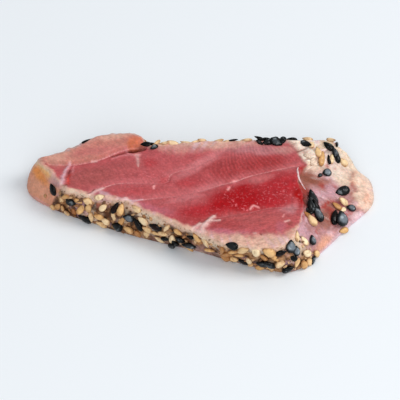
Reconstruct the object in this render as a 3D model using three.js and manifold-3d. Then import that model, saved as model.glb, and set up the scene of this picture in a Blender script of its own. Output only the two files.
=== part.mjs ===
import * as THREE from "three";
import { mergeVertices } from "three/addons/utils/BufferGeometryUtils.js";
import Module from "manifold-3d";

// One slice cut across a seared tuna loin. It lies on its flat underside with the raw cut face up.
// Millimetres, +X along the slice towards the broad slope of its skin end, +Y to its far side, +Z up.
// The origin is under the slice's middle, on the surface that the slice lies on.

// Driving dimensions
const SLICE_LENGTH = 87;
const SLICE_WIDTH = 39.2;
const SLICE_THICKNESS = 9;

// Edges and walls
const RIM_RADIUS = 0.9; // rounding where the cut face turns down into the wall
const LIP_HEIGHT = 0.9; // height of the rounded lip round the foot
const LIP_TUCK = 0.6; // how far that lip turns in under the foot
const WALL_SWELL = 0.5; // how far the seared wall bulges half way up

// Relief of the cut face
const SEAM_DEPTH = 0.3; // groove along each seam between two bands of muscle
const SEAM_REACH = 0.9;
const CROWN_HEIGHT = 0.35; // how far a band of muscle swells above its seams
const CROWN_REACH = 3.5;
const FLAKE_LIFT = 0.5; // how far the far left flake stands above the band beside it
const FLAKE_BLEND = 1.5;
const EDGE_FADE = 0.12; // share of the way in from the rim over which the relief sets in

// The split that opens between that flake and the band beside it
const SPLIT_DEPTH = 3.6;
const SPLIT_WIDTH = 1.7;

// Steps of the surface
const STEPS_ROUND = 112;
const STEPS_LIP = 2;
const STEPS_WALL = 4;
const STEPS_RIM = 3;
const STEPS_FACE = 10;
const STEPS_UNDERSIDE = 2;
const STEPS_SEAM = 24;

// The outline, walked once round. Every station has a point on the rim of the cut face and one on the foot of
// the wall, in hundredths of the slice's length and width from its middle.
const OUTLINE = [
  { rim: [-46.9, 1.5], foot: [-49.6, 3.6] }, // left tip
  { rim: [-42.7, -7.1], foot: [-48.0, -11.2] },
  { rim: [-37.2, -19.4], foot: [-40.0, -20.4] }, // near left corner
  { rim: [-29.4, -24.7], foot: [-28.7, -27.5] },
  { rim: [-19.5, -25.0], foot: [-18.6, -32.6] },
  { rim: [-8.9, -34.2], foot: [-8.7, -36.2] },
  { rim: [2.8, -42.8], foot: [3.0, -39.5] },
  { rim: [14.5, -49.5], foot: [15.9, -44.9] },
  { rim: [26.9, -47.4], foot: [30.4, -46.9] }, // near right corner
  { rim: [31.5, -30.1], foot: [37.6, -30.4] },
  { rim: [32.0, -8.2], foot: [43.7, -7.1] }, // middle of the skin end
  { rim: [29.0, 15.8], foot: [49.9, 17.9] }, // torn lobe of skin
  { rim: [33.8, 38.5], foot: [47.0, 39.5] },
  { rim: [35.6, 49.6], foot: [38.8, 50.0] }, // far right corner
  { rim: [8.5, 40.3], foot: [9.7, 44.4] },
  { rim: [-7.6, 32.1], foot: [-7.6, 35.7] },
  { rim: [-16.1, 27.0], foot: [-16.3, 31.1] }, // notch beside the flake
  { rim: [-20.0, 32.1], foot: [-20.0, 34.2] }, // rounded end of the flake
  { rim: [-30.1, 28.1], foot: [-30.3, 30.1] },
  { rim: [-40.4, 11.7], foot: [-42.3, 14.8] },
];

// The line along the middle of the slice where the two halves of the surface meet
const SPINE = { left: [-40, 0], right: [24, 0] };

// Seams between the bands of muscle, near end first
const SEAMS = [
  [[-42.0, -1.8], [-31.2, 11.0], [-17.8, 22.0]],
  [[-27.5, -20.9], [-21.8, -10.0], [-8.3, 3.6], [-3.3, 13.8], [6.5, 31.1]],
  [[-19.3, -24.5], [-6.4, -18.1], [6.5, -4.6], [13.9, 9.2], [26.2, 21.9]],
  [[6.9, -29.1], [13.9, -24.5], [22.2, -17.3], [31.5, -9.9]],
];
const FLAKE_SEAM = 0;

// Where the split starts and where it opens at the notch
const SPLIT = { start: [-31.0, 11.6], mouth: [-14.0, 26.4] };

function place([along, across]) {
  return new THREE.Vector3((along / 100) * SLICE_LENGTH, (across / 100) * SLICE_WIDTH, 0);
}

// The outlines are smooth closed curves, read at the same parameters so that rim and foot points pair up.
function outlinePoints(key) {
  const curve = new THREE.CatmullRomCurve3(
    OUTLINE.map((station) => place(station[key])),
    true,
    "catmullrom",
  );
  return Array.from({ length: STEPS_ROUND }, (_, i) => curve.getPoint(i / STEPS_ROUND));
}

// The spine is walked out along the near side and back along the far side, so that facing points coincide.
function spinePoints() {
  const left = place(SPINE.left);
  const right = place(SPINE.right);
  const half = STEPS_ROUND / 2;
  return Array.from({ length: STEPS_ROUND }, (_, i) =>
    left.clone().lerp(right, Math.min(i, STEPS_ROUND - i) / half),
  );
}

function seamPoints(seam) {
  return new THREE.CatmullRomCurve3(seam.map(place), false, "catmullrom").getPoints(STEPS_SEAM);
}

const spine = spinePoints();
const rim = outlinePoints("rim");
const foot = outlinePoints("foot");
const seams = SEAMS.map(seamPoints);

// The nearest point of a seam, with the distance to it, which is negative on the seam's near side.
function signedDistance(point, seam) {
  let best = { distance: Infinity, side: 1 };
  for (let i = 0; i < seam.length - 1; i++) {
    const along = seam[i + 1].clone().sub(seam[i]);
    const offset = point.clone().sub(seam[i]);
    const share = THREE.MathUtils.clamp(offset.dot(along) / along.lengthSq(), 0, 1);
    const distance = offset.distanceTo(along.clone().multiplyScalar(share));
    if (distance < best.distance) {
      best = { distance, side: along.x * offset.y >= along.y * offset.x ? 1 : -1 };
    }
  }
  return best.distance * best.side;
}

// Height of the cut face above its mean plane: seams are grooves, bands swell between them, the flake is lifted.
function relief(x, y) {
  const point = new THREE.Vector3(x, y, 0);
  const distances = seams.map((seam) => signedDistance(point, seam));
  const nearest = Math.min(...distances.map(Math.abs));
  const groove = SEAM_DEPTH * Math.exp(-((nearest / SEAM_REACH) ** 2));
  const valley = CROWN_HEIGHT * Math.exp(-((nearest / CROWN_REACH) ** 2));
  const lift = FLAKE_LIFT * THREE.MathUtils.smoothstep(distances[FLAKE_SEAM], 0, FLAKE_BLEND);
  return lift - groove - valley;
}

// Rings from the spine under the slice, out to the foot, up the wall, over the rim and in to the spine on top.
function surfaceRings() {
  const rings = [];
  const addRing = (pointAt) => rings.push(spine.map((_, i) => pointAt(i)));
  const inwards = (points, i, distance) => {
    const step = spine[i].clone().sub(points[i]).setLength(distance);
    return points[i].clone().add(step);
  };

  for (let k = 0; k < STEPS_UNDERSIDE; k++) {
    addRing((i) => spine[i].clone().lerp(inwards(foot, i, LIP_TUCK), k / STEPS_UNDERSIDE));
  }
  for (let k = 0; k < STEPS_LIP; k++) {
    const turn = ((k / STEPS_LIP) * Math.PI) / 2;
    addRing((i) =>
      inwards(foot, i, LIP_TUCK * (1 - Math.sin(turn))).setZ(LIP_HEIGHT * (1 - Math.cos(turn))),
    );
  }
  const wallTop = SLICE_THICKNESS - RIM_RADIUS;
  for (let k = 0; k < STEPS_WALL; k++) {
    const share = k / STEPS_WALL;
    const swell = WALL_SWELL * Math.sin(share * Math.PI);
    const height = THREE.MathUtils.lerp(LIP_HEIGHT, wallTop, share);
    addRing((i) => {
      const point = foot[i].clone().lerp(rim[i], share);
      const outwards = point.clone().sub(spine[i]).setLength(swell);
      return point.add(outwards).setZ(height);
    });
  }
  for (let k = 0; k < STEPS_RIM; k++) {
    const turn = ((k / STEPS_RIM) * Math.PI) / 2;
    addRing((i) =>
      inwards(rim, i, RIM_RADIUS * (1 - Math.cos(turn))).setZ(wallTop + RIM_RADIUS * Math.sin(turn)),
    );
  }
  for (let k = 0; k <= STEPS_FACE; k++) {
    const share = k / STEPS_FACE;
    const fade = THREE.MathUtils.smoothstep(share, 0, EDGE_FADE);
    addRing((i) => {
      const point = inwards(rim, i, RIM_RADIUS).lerp(spine[i], share);
      return point.setZ(SLICE_THICKNESS + relief(point.x, point.y) * fade);
    });
  }
  return rings;
}

// A closed surface through the rings. The first and last ring fold flat onto the spine and merge there.
function ringGeometry(rings) {
  const positions = rings.flat().flatMap((point) => point.toArray());
  const indices = [];
  for (let row = 0; row < rings.length - 1; row++) {
    for (let i = 0; i < STEPS_ROUND; i++) {
      const next = (i + 1) % STEPS_ROUND;
      const a = row * STEPS_ROUND + i;
      const b = row * STEPS_ROUND + next;
      const c = a + STEPS_ROUND;
      const d = b + STEPS_ROUND;
      indices.push(a, b, d, a, d, c);
    }
  }
  const geometry = new THREE.BufferGeometry();
  geometry.setAttribute("position", new THREE.Float32BufferAttribute(positions, 3));
  geometry.setIndex(indices);
  return geometry;
}

// The split is a wedge, open at the notch and closing to nothing between flake and band.
function splitGeometry() {
  const start = place(SPLIT.start);
  const mouth = place(SPLIT.mouth);
  const across = mouth.clone().sub(start).cross(new THREE.Vector3(0, 0, 1)).setLength(SPLIT_WIDTH / 2);
  const near = mouth.clone().add(across);
  const far = mouth.clone().sub(across);
  const plan = new THREE.Shape([start, near, far].map((point) => new THREE.Vector2(point.x, point.y)));
  const cut = new THREE.ExtrudeGeometry(plan, { depth: SLICE_THICKNESS, bevelEnabled: false });
  return cut.translate(0, 0, SLICE_THICKNESS - SPLIT_DEPTH);
}

const wasm = await Module();
wasm.setup();

function toSolid(geometry) {
  const bare = geometry.clone();
  bare.deleteAttribute("normal");
  bare.deleteAttribute("uv");
  const merged = mergeVertices(bare, 1e-4);
  const mesh = new wasm.Mesh({
    numProp: 3,
    vertProperties: merged.attributes.position.array,
    triVerts: new Uint32Array(merged.index.array),
  });
  return new wasm.Manifold(mesh);
}

function toGeometry(solid) {
  const mesh = solid.getMesh();
  const geometry = new THREE.BufferGeometry();
  geometry.setAttribute("position", new THREE.Float32BufferAttribute(mesh.vertProperties, 3));
  geometry.setIndex(Array.from(mesh.triVerts));
  geometry.computeVertexNormals();
  return geometry;
}

// The box's lowest face is set on the ground and its middle over the origin.
function centreOnGround(geometry) {
  geometry.computeBoundingBox();
  const middle = geometry.boundingBox.getCenter(new THREE.Vector3());
  return geometry.translate(-middle.x, -middle.y, -geometry.boundingBox.min.z);
}

function tunaSlice() {
  const body = toSolid(ringGeometry(surfaceRings()));
  const split = toSolid(splitGeometry());
  const material = new THREE.MeshStandardMaterial({ color: 0xb8535c, roughness: 0.45, metalness: 0 });
  const mesh = new THREE.Mesh(centreOnGround(toGeometry(body.subtract(split))), material);
  mesh.name = "tuna_slice";
  return mesh;
}

const group = new THREE.Group();
group.add(tunaSlice());

export default group;
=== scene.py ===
import bmesh
import bpy
import math
import numpy as np
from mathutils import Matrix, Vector


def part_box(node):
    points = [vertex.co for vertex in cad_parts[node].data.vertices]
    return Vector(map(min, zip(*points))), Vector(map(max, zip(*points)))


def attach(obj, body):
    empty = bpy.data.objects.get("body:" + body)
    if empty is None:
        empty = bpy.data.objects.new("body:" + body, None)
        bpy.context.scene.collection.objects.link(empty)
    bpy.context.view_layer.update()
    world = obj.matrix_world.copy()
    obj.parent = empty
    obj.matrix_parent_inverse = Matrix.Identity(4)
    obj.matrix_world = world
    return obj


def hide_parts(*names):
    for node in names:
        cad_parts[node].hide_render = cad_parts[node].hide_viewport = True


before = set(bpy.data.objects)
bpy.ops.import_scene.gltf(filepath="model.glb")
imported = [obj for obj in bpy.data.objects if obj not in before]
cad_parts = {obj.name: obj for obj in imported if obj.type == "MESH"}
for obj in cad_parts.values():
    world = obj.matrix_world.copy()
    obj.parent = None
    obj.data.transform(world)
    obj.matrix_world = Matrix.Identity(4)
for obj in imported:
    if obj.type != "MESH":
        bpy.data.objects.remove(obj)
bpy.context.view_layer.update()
mm = 0.001
nodeLow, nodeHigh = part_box("tuna_slice")
sliceLength, sliceWidth, sliceHeight = (nodeHigh - nodeLow) / mm
scene = bpy.context.scene

# view, light and floor; places of the view in millimetres, of the lamps in metres
view = {
    "target": (1.4, -2.2, 4.5),
    "azimuth": 10,
    "elevation": 47,
    "distance": 612,
    "frameWidth": 100,
}
lights = {
    "sky": {"colour": (0.96, 0.98, 1.0), "strength": 0.54},
    "top": {"at": (0.75, 0.1, 0.75), "size": 0.5, "watts": 6.2, "colour": (1.0, 0.985, 0.96)},
    "front": {"at": (0.15, -0.85, 0.65), "size": 0.8, "watts": 3.7, "colour": (1.0, 0.99, 0.98)},
}
floorLook = {"half": 1.5, "colour": (236, 241, 246), "roughness": 0.4}


def linear(colour):
    # screen colour 0-255 to linear light
    c = np.array(colour) / 255
    return tuple(np.where(c > 0.04045, ((c + 0.055) / 1.055) ** 2.4, c / 12.92))


def makeCamera():
    data = bpy.data.cameras.new("camera")
    camera = bpy.data.objects.new("camera", data)
    scene.collection.objects.link(camera)
    turn, rise = math.radians(view["azimuth"]), math.radians(view["elevation"])
    back = Vector((math.sin(turn) * math.cos(rise), -math.cos(turn) * math.cos(rise), math.sin(rise)))
    camera.location = (Vector(view["target"]) + back * view["distance"]) * mm
    camera.rotation_euler = back.to_track_quat("Z", "Y").to_euler()
    data.lens = data.sensor_width * view["distance"] / view["frameWidth"]
    data.clip_start, data.clip_end = 0.01, 10
    scene.camera = camera


def makeLights():
    world = bpy.data.worlds.new("studio")
    world.use_nodes = True
    sky = world.node_tree.nodes["Background"]
    sky.inputs["Color"].default_value = (*lights["sky"]["colour"], 1)
    sky.inputs["Strength"].default_value = lights["sky"]["strength"]
    scene.world = world
    for name in ("top", "front"):
        spec = lights[name]
        data = bpy.data.lights.new(name, "AREA")
        data.energy, data.size, data.color = spec["watts"], spec["size"], spec["colour"]
        lamp = bpy.data.objects.new(name, data)
        lamp.location = spec["at"]
        lamp.rotation_euler = Vector(spec["at"]).to_track_quat("Z", "Y").to_euler()
        scene.collection.objects.link(lamp)


def makeFloor():
    half = floorLook["half"]
    mesh = bpy.data.meshes.new("floor")
    corners = [(-half, -half, 0), (half, -half, 0), (half, half, 0), (-half, half, 0)]
    mesh.from_pydata(corners, [], [(0, 1, 2, 3)])
    floor = bpy.data.objects.new("floor", mesh)
    scene.collection.objects.link(floor)
    material = bpy.data.materials.new("floor")
    material.use_nodes = True
    shader = material.node_tree.nodes["Principled BSDF"]
    shader.inputs["Base Color"].default_value = (*linear(floorLook["colour"]), 1)
    shader.inputs["Roughness"].default_value = floorLook["roughness"]
    mesh.materials.append(material)


makeCamera()
makeLights()
makeFloor()
scene.view_settings.view_transform = "Standard"
scene.view_settings.look = "None"
print("view, light and floor are set")

latticeSize = 64


def latticeNoise(points, cell, seed):
    # value noise from -1 to 1: random values on a cubic lattice, eased between a cell's eight corners
    lattice = np.random.default_rng(seed).random((latticeSize,) * 3) * 2 - 1
    places = points / cell
    low = np.floor(places).astype(int)
    share = places - low
    share = share * share * (3 - 2 * share)
    total = 0
    for corner in np.ndindex(2, 2, 2):
        weight = np.prod(np.where(corner, share, 1 - share), axis=-1)
        total = total + weight * lattice[tuple(np.moveaxis((low + corner) % latticeSize, -1, 0))]
    return total


def roughNoise(points, cell, seed, octaves=3):
    # lattice noise added to itself at half the size and half the height, again and again
    return sum(latticeNoise(points, cell / 2**k, seed + k) / 2**k for k in range(octaves))


def flatPlaces(x, y):
    return np.stack([x, y, np.zeros_like(x)], -1)


def ease(value, start, end):
    # 0 before start, 1 after end, an S curve between
    share = np.clip((value - start) / (end - start), 0, 1)
    return share * share * (3 - 2 * share)


def cloudy(points, cell, seed, start, end):
    # share from 0 to 1 where rough noise climbs from start to end
    return ease(roughNoise(points, cell, seed), start, end)


def blend(a, b, share):
    return a + (b - a) * share


def unit(vectors):
    return vectors / np.maximum(np.linalg.norm(vectors, axis=-1, keepdims=True), 1e-9)


def bell(distance, reach):
    # 1 at distance 0, falling away like exp(-d^2)
    return np.exp(-(distance / reach) ** 2)


def through(points, where, closed=True):
    # Catmull-Rom curve, one unit a stretch: the cubic set by its two ends and the points beyond them
    points = np.asarray(points, float)
    count = len(points)
    if closed:
        where = np.mod(where, count)
    low = np.floor(where).astype(int)
    low = low if closed else np.clip(low, 0, count - 2)
    share = (where - low)[..., None]
    near = [low + k for k in (-1, 0, 1, 2)]
    a, b, c, d = (points[k % count if closed else np.clip(k, 0, count - 1)] for k in near)
    return b + 0.5 * share * (c - a + share * (2 * a - 5 * b + 4 * c - d + share * (3 * (b - c) + d - a)))


tuna = {
    "bodyShare": 0.96,  # thickness of the slice as a share of the node's height
    "rimRadius": 0.8,
    "lipHeight": 0.8,
    "lipTuck": 0.6,
    "wallSwell": 0.5,
    "rimRough": 0.28,
    "around": 720,
    "rows": {"underside": 8, "lip": 4, "wall": 26, "rim": 6, "face": 66},
}

# rim along and across and foot along and across, in hundredths of length and width; cooked band in mm
stations = np.array([
    (-46.9, 1.5, -49.6, 3.6, 1.2),  # left tip
    (-42.7, -7.1, -48, -11.2, 1.1),
    (-37.2, -19.4, -40, -20.4, 0.7),  # near left corner
    (-29.4, -24.7, -28.7, -27.5, 0.9),
    (-19.5, -25, -18.6, -32.6, 1.4),
    (-8.9, -34.2, -8.7, -36.2, 1),
    (2.8, -42.8, 3, -39.5, 1.4),
    (14.5, -49.5, 15.9, -44.9, 3.2),
    (26.9, -47.4, 30.4, -46.9, 4.4),  # near right corner
    (31.5, -30.1, 37.6, -30.4, 1.2),
    (32, -8.2, 43.7, -7.1, 0.2),  # middle of the skin end
    (29, 15.8, 49.9, 17.9, 0.2),  # torn lobe of skin
    (33.8, 38.5, 47, 39.5, 0.6),
    (35.6, 49.6, 38.8, 50, 1.5),  # far right corner
    (8.5, 40.3, 9.7, 44.4, 3.6),
    (-7.6, 32.1, -7.6, 35.7, 3.8),
    (-16.1, 27, -16.3, 31.1, 1.4),  # notch beside the flake
    (-20, 34.8, -20, 35.6, 1),  # rounded end of the flake
    (-30.1, 30.6, -30.3, 31.6, 2.2),
    (-40.4, 11.7, -42.3, 14.8, 1.5),
])
stationCount = len(stations)
spineEnds = np.array([(-40, 0), (24, 0)])
hundredths = np.array([sliceLength, sliceWidth]) / 100
bodyHeight = sliceHeight * tuna["bodyShare"]

# where muscle bands meet, in millimetres, and how strongly the white line shows from start to end
seams = [
    {"path": [(-37.5, -0.6), (-31.5, 0.2), (-28, 1.5), (-24.4, 3.6), (-21.6, 6.3), (-19, 8),
              (-15, 9.4)],
     "show": (0.2, 0.4, 0.5, 0.6, 0.55, 0.4, 0.1)},
    {"path": [(-25.2, -8.8), (-22.8, -6.4), (-18.6, -3.8), (-12.5, -2.6), (-7.3, -1.4), (-6.8, 1.2),
              (-4.6, 3.2), (-1.6, 4.6), (2, 8), (6.5, 13.2)],
     "show": (0.8, 0.7, 0.45, 0.1, 0.15, 0.4, 0.3, 0.1, 0.1, 0)},
    {"path": [(-17.5, -10.2), (-16.3, -9), (-12.4, -8.5), (-8.5, -7), (-3, -5.2), (1.4, -3),
              (4.8, -0.8), (9.6, 1.9), (13.2, 4.4), (18, 6.8), (24.4, 9.8)],
     "show": (0.8, 0.8, 0.6, 0.3, 0.1, 0.1, 0.25, 0.6, 0.45, 0.5, 0.3)},
    {"path": [(2.6, -16.5), (4.8, -12.6), (9, -10.4), (13, -8.9), (16, -7.6), (21, -5.4),
              (27.5, -4.6)],
     "show": (0.3, 0.2, 0.1, 0.1, 0.15, 0.2, 0.2)},
]
seamSteps = 48
splitPath = [(-23.4, 4.2), (-21.4, 5.5), (-19.2, 7.0), (-17.4, 7.6), (-15.0, 8.9)]

# strokes on the cut face: tone, reach at start and end, lift, strength and path, in millimetres
# the split and gap strokes, sunk by their negative lift, paint shade in grooves and cracks; the pale fleck
# strokes are painted glints of the wet face
marks = [
    ("lavender", (0.35, 0.7), 0.2, 0.6, [(-32.3, 0.2), (-32.9, -3.5), (-33, -6.8)]),
    ("paleStreak", (0.3, 0.3), 0.1, 0.6, [(-31.2, 0), (-31, -2.4)]),
    ("gapShade", (0.3, 0.45), -0.5, 0.6, [(-31.9, -1.8), (-31.9, -3.8)]),
    ("stripe", (0.35, 0.5), -0.2, 0.9, [(-31.5, -3.4), (-31.3, -6.4)]),
    ("splitShade", (0.35, 0.35), -0.3, 0.8, [(-32.6, -7.6), (-31.6, -7)]),
    ("membrane", (0.3, 0.3), 0.05, 0.6, [(-26.9, 2), (-25.8, 2.4)]),
    ("paleStreak", (0.25, 0.35), 0.05, 0.6, [(-22.2, 4), (-20.4, 5.2), (-18.4, 6)]),
    ("paleStreak", (0.4, 0.3), 0.1, 0.7, [(-19.4, 8), (-18.7, 6.7), (-17.4, 6.2), (-15.4, 6.5)]),
    ("membrane", (0.75, 0.2), 0.05, 0.4, [(-16.2, 6.2), (-15.6, 4.4), (-15.2, 2.4)]),
    ("membrane", (0.6, 0.35), 0.2, 0.8, [(-25.2, -8.8), (-24, -7.5), (-22.4, -6.2)]),
    ("membrane", (0.7, 0.45), 0.3, 0.9, [(-16.6, -10.8), (-16.1, -8.9)]),
    ("lavender", (0.35, 0.3), 0.1, 0.7, [(-16.3, -9), (-14.6, -9.3), (-12, -8.3)]),
    ("splitShade", (0.25, 0.3), -0.3, 0.5, [(-17.7, -9.8), (-18.2, -11)]),
    ("cream", (0.4, 0.5), 0.15, 0.8, [(-29.8, -8.2), (-28.4, -10.2)]),
    ("splitShade", (0.25, 0.3), -0.3, 0.6, [(-24.5, -7), (-25.7, -9)]),
    ("membrane", (0.7, 0.4), 0.3, 0.75, [(1.8, -17.8), (2.3, -15.7), (3.7, -14)]),
    ("membrane", (1, 0.45), 0.4, 0.85, [(4, -17.6), (4.4, -15.2), (5.3, -13), (6.3, -10.9)]),
    ("membrane", (0.5, 0.25), 0.15, 0.7, [(6, -12.6), (8.1, -12)]),
    ("gapShade", (0.2, 0.35), -0.2, 0.6, [(3.6, -13.7), (5, -11.9)]),
    ("fleck", (0.2, 0.25), 0.05, 0.55, [(23.4, -7.4), (23.2, -8.4)]),
    ("membrane", (0.25, 0.25), 0.08, 0.6, [(24.9, -9.3), (23.9, -9.9)]),
    ("toast", (0.3, 0.3), 0, 0.5, [(25.6, -9.8), (25, -10.6)]),
    ("membrane", (0.25, 0.3), 0.05, 0.5, [(17.5, -14.8), (17, -15)]),
    ("gapShade", (0.25, 0.25), -0.3, 0.8, [(18.5, -14.5), (18.8, -14.9)]),
    ("fleck", (0.3, 0.3), 0.08, 0.85, [(-10, -3.1), (-10, -4)]),
    ("fleck", (0.45, 0.35), 0.08, 0.7, [(9.2, 1.7), (9.9, 2.1)]),
    ("fleck", (0.3, 0.3), 0.08, 0.85, [(8.6, -0.5), (8.3, -1.5)]),
    ("fleck", (0.28, 0.28), 0.08, 0.9, [(14.8, -7), (15.5, -5.8), (16.7, -6.3)]),
    ("splitShade", (0.25, 0.35), -0.25, 0.7, [(23.2, 14.4), (24.4, 14.9), (25.4, 15.8)]),
    ("splitShade", (0.2, 0.3), -0.3, 0.6, [(25.6, 11.6), (26.8, 12.2), (27.6, 12)]),
    ("bruise", (0.8, 1), -0.1, 0.9, [(25.6, 8.6), (26.3, 7.4), (26.8, 6.2)]),
    ("tailRed", (0.5, 0.4), 0, 0.8, [(25, 8.8), (25.6, 8.4)]),
    ("bruise", (0.8, 0.6), 0, 0.5, [(24, 14.8), (25.6, 14)]),
]

# line at the far right corner along which the red face ends in white tissue
faceEnd = [(30.0, 8.6), (27.6, 9.8), (25.6, 10.9), (24.6, 12.0), (24.1, 13.2),
           (23.3, 14.7), (22.2, 16.3), (19.5, 18.8)]

relief = {
    "tissueHeight": 0.26, "tissueSize": 2.8,
    "seamDepth": 0.16, "seamReach": 0.4,
    "crownHeight": 0.3, "crownReach": 3.2,
    "flakeLift": 1.0, "flakeBlend": 0.8,
    "splitDepth": 2.2, "splitWidth": 0.6,
    "waveHeight": 0.2, "waveSize": 7.0,
    "crustHeight": 0.32, "crustSize": 2.4,
    "skinHeight": 0.24, "skinSize": 3.0,
    "lobeHeight": 0.9,
    "cornerHeight": 0.5,  # swelling of the far right corner
    "leftHeight": 0.12,
}


def alongSeam(x, y, path, steps=seamSteps):
    # signed distance to a curve, positive on its far side, and how far along it the nearest point lies
    knots = through(path, np.linspace(0, len(path) - 1, steps + 1), closed=False)
    best = np.full(x.shape, 1e9)
    side, share = np.zeros(x.shape), np.zeros(x.shape)
    for k in range(steps):
        start, step = knots[k], knots[k + 1] - knots[k]
        offX, offY = x - start[0], y - start[1]
        t = np.clip((offX * step[0] + offY * step[1]) / (step @ step), 0, 1)
        distance = np.hypot(offX - t * step[0], offY - t * step[1])
        closer = distance < best
        best = np.where(closer, distance, best)
        side = np.where(closer, np.sign(step[0] * offY - step[1] * offX), side)
        share = np.where(closer, (k + t) / steps, share)
    return best * side, share


def markShares(x, y):
    # for each stroke a ragged bell across its path
    ragged = 0.4 * roughNoise(flatPlaces(x, y), 1.1, 33, 2)
    for tone, reach, lift, strength, path in marks:
        distance, share = alongSeam(x, y, path, steps=10)
        reach = blend(*reach, share)
        yield tone, lift, strength, bell(distance + ragged * reach, reach)


def tissueShare(x, y):
    # 1 on the corner's side of the line where the red face ends
    past = 1 - ease(alongSeam(x, y, faceEnd, steps=20)[0], -0.5, 0.3)
    return past * ease(x, 17, 20) * ease(y, 6, 8)


def faceRelief(x, y):
    # bells along the seams and between them, eased steps at the flake and the split, strokes, slow noise
    fields = [alongSeam(x, y, seam["path"]) for seam in seams]
    nearest = np.min([np.abs(d) for d, _ in fields], axis=0)
    height = -relief["seamDepth"] * bell(nearest, relief["seamReach"])
    height = height - relief["crownHeight"] * bell(nearest, relief["crownReach"])
    height = height + relief["flakeLift"] * ease(fields[0][0], -0.1, relief["flakeBlend"])
    distance, share = alongSeam(x, y, splitPath)
    reach = 0.25 + relief["splitWidth"] * ease(share, 0.3, 1)
    opened = ease(share, 0.0, 0.6) * (1 - ease(np.abs(distance), 0, reach))
    height = height - relief["splitDepth"] * opened
    for _, lift, _, share in markShares(x, y):
        height = height + lift * share
    flat = flatPlaces(x, y)
    lumpy = 1 + latticeNoise(flat, relief["tissueSize"], 19)
    height = height + relief["tissueHeight"] * tissueShare(x, y) * lumpy
    return height + relief["waveHeight"] * roughNoise(flat, relief["waveSize"], 11, 2)


def ringSpot(where):
    # the station as a place on a circle as long as the outline, so that noise read there closes on itself
    angle = where * 2 * math.pi / stationCount
    radius = (sliceLength + sliceWidth) / math.pi
    return flatPlaces(radius * np.cos(angle), radius * np.sin(angle))


def outlineAt(where):
    # rim and foot are curves through the stations, the rim moved by rough noise; the spine is straight
    at = through(stations, where)
    rim, foot, cooked = at[..., 0:2] * hundredths, at[..., 2:4] * hundredths, at[..., 4]
    share = 1 - np.abs(np.mod(where, stationCount) / (stationCount / 2) - 1)
    spine = blend(spineEnds[0], spineEnds[1], share[..., None]) * hundredths
    rough = tuna["rimRough"] * roughNoise(ringSpot(where), 2.6, 13, 2)
    rim = rim + unit(spine - rim) * rough[..., None]
    return rim, foot, spine, cooked


def sliceSurface(where, row):
    # rows 0-1 underside, straight from spine to foot; 1-2 lip, a quarter of an ellipse; 2-3 wall, straight
    # and swollen as a sine; 3-4 rim, a quarter circle; 4-5 cut face, straight back to the spine plus relief
    rim, foot, spine, cooked = outlineAt(where)
    part = [np.clip(row - k, 0, 1)[..., None] for k in range(5)]
    quarter = math.pi / 2
    rimIn, footIn = unit(spine - rim), unit(spine - foot)
    under = blend(spine, foot + footIn * tuna["lipTuck"], part[0])
    lip = foot + footIn * tuna["lipTuck"] * (1 - np.sin(part[1] * quarter))
    wall = blend(foot, rim, part[2]) - rimIn * tuna["wallSwell"] * np.sin(part[2] * math.pi)
    edge = rim + rimIn * tuna["rimRadius"] * (1 - np.cos(part[3] * quarter))
    face = blend(rim + rimIn * tuna["rimRadius"], spine, part[4])
    step = np.floor(np.clip(row, 0, 4.999))[..., None]
    plan = np.select([step == k for k in range(5)], [under, lip, wall, edge, face])
    wallTop = bodyHeight - tuna["rimRadius"]
    up = [p[..., 0] for p in part]
    height = tuna["lipHeight"] * (1 - np.cos(up[1] * quarter))
    height = height + (wallTop - tuna["lipHeight"]) * up[2] + tuna["rimRadius"] * np.sin(up[3] * quarter)
    inner = rim + rimIn * tuna["rimRadius"]
    depth = up[4] * np.linalg.norm(inner - spine, axis=-1) + tuna["rimRadius"] * up[3]
    height = height + faceRelief(plan[..., 0], plan[..., 1]) * ease(depth, 0.3, 2.0) * (row > 3)
    return np.concatenate([plan, height[..., None]], -1), depth, cooked


def between(where, start, end, soft=0.35):
    # 1 between two stations, easing to 0 over soft stations outside them
    return ease(where, start - soft, start) * (1 - ease(where, end, end + soft))


def lobeMask(where, rise):
    # the torn lobe: a low plateau at the foot of the skin end with a ragged upper edge
    edge = 0.26 + 0.05 * latticeNoise(ringSpot(where), 2.2, 17) + 0.10 * bell(where - 11.6, 0.4)
    return between(where, 10.75, 11.95, 0.12) * (1 - ease(rise, edge, edge + 0.07))


def wallLift(points, where, row):
    # noise lumps of crust; soft folds, the torn lobe and a bell on the skin end; little on the left end
    skin = between(where, 9.0, 12.2, 0.3)
    bare = between(where, 19.2, 20.1, 0.3) + between(where, -0.1, 1.8, 0.25)
    rise = points[..., 2] / bodyHeight
    crust = relief["crustHeight"] * roughNoise(points, relief["crustSize"], 61)
    folds = relief["skinHeight"] * roughNoise(points * (0.8, 1.4, 1.0), relief["skinSize"], 71)
    folds = folds + relief["lobeHeight"] * lobeMask(where, rise)
    plain = relief["leftHeight"] * roughNoise(points, 4.0, 65)
    lift = blend(blend(crust, folds, skin), plain, np.clip(bare, 0, 1))
    lift = lift + relief["cornerHeight"] * bell(where - 12.6, 0.4) * bell(rise - 0.7, 0.35)
    return lift * ease(row, 1.6, 2.2) * (1 - ease(row, 3.5, 4.0))


def rowAt(rise):
    # row at that share of the body's height on the wall; over 1, the way in over the cut face
    up = bodyHeight * (rise + 0.05 * np.sin(math.pi * np.clip(rise, 0, 1)))
    wallTop = bodyHeight - tuna["rimRadius"]
    wall = 2 + (up - tuna["lipHeight"]) / (wallTop - tuna["lipHeight"])
    wall = np.where(up < wallTop, wall, np.minimum(3 + 0.6 * (up - wallTop) / tuna["rimRadius"], 3.95))
    return np.where(rise > 1, 3 + rise, wall)


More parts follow.
